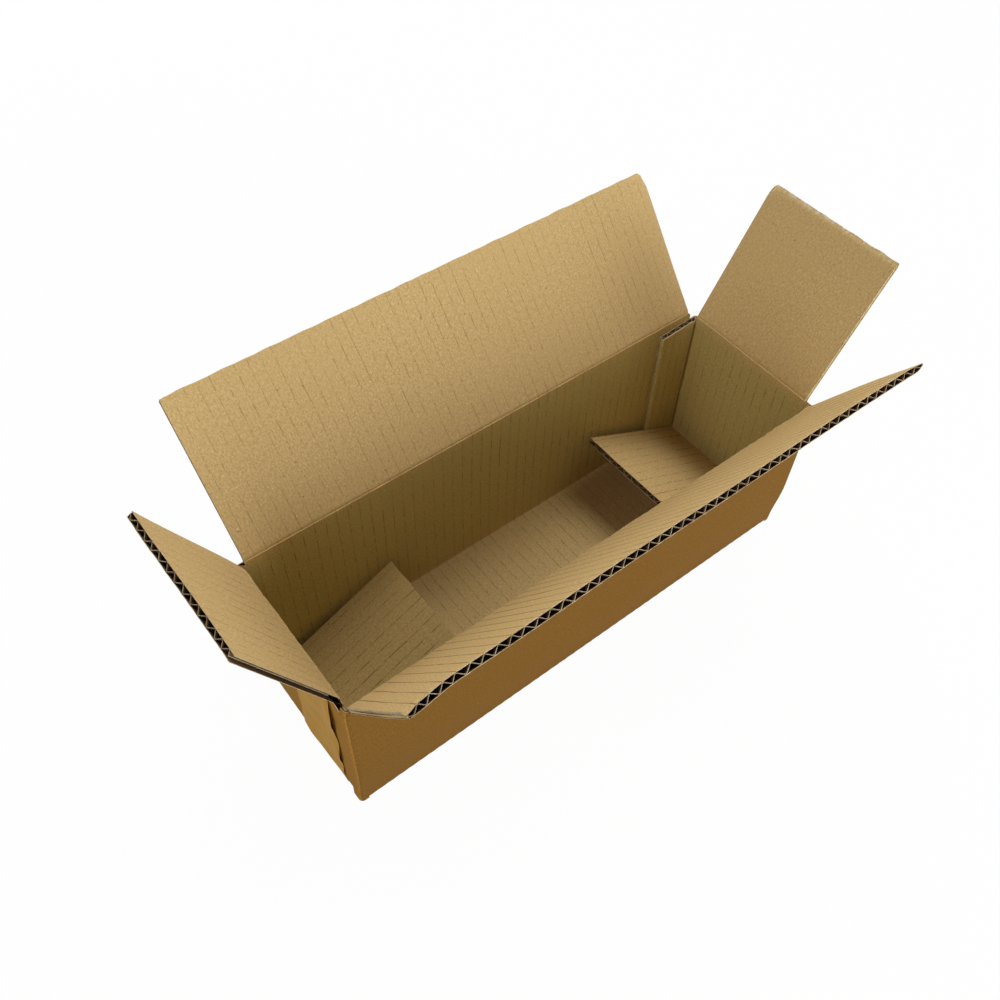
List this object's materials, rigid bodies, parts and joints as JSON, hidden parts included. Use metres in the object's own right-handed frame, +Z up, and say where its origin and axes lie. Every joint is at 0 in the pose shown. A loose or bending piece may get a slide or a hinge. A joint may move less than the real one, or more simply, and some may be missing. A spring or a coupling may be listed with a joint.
{
  "type": "bottle shipping box",
  "caption": "Long narrow corrugated cardboard box for shipping a bottle, with open top flaps that fold on their creases, loose inner bottom flaps and a taped bottom.",
  "frame": {"origin": "under the middle of the box, on the surface that it stands on", "axes": "+X along the box towards its right end, +Y towards the back wall, +Z up"},
  "size_m": [0.459, 0.2381, 0.2215],
  "materials": {
    "kraft_board": "matte brown kraft liner",
    "packing_tape": "satin brown film"
  },
  "bodies": {
    "box": {"box_body": "kraft_board", "bottom_tape": "packing_tape"},
    "front_flap": {"front_flap": "kraft_board"},
    "back_flap": {"back_flap": "kraft_board"},
    "left_flap": {"left_flap": "kraft_board"},
    "right_flap": {"right_flap": "kraft_board"},
    "left_bottom_flap": {"left_bottom_flap": "kraft_board"},
    "right_bottom_flap": {"right_bottom_flap": "kraft_board"}
  },
  "joints": [
    {"name": "front_hinge", "type": "hinge", "parent": "box", "child": "front_flap", "pos_m": [0, -0.055, 0.12715], "axis": [1, 0, 0], "range_deg": [-122.5, 82.5]},
    {"name": "back_hinge", "type": "hinge", "parent": "box", "child": "back_flap", "pos_m": [0, 0.055, 0.1313], "axis": [-1, 0, 0], "range_deg": [-131, 74]},
    {"name": "left_hinge", "type": "hinge", "parent": "box", "child": "left_flap", "pos_m": [-0.184, 0, 0.127], "axis": [0, -1, 0], "range_deg": [-114.5, 90.5]},
    {"name": "right_hinge", "type": "hinge", "parent": "box", "child": "right_flap", "pos_m": [0.184, 0, 0.127], "axis": [0, 1, 0], "range_deg": [-118.5, 86.5]},
    {"name": "left_bottom_hinge", "type": "hinge", "parent": "box", "child": "left_bottom_flap", "pos_m": [-0.18, 0, 0.01245], "axis": [0, -1, 0], "range_deg": [-25, 60]},
    {"name": "right_bottom_hinge", "type": "hinge", "parent": "box", "child": "right_bottom_flap", "pos_m": [0.18, 0, 0.01245], "axis": [0, 1, 0], "range_deg": [-28, 57]}
  ]
}
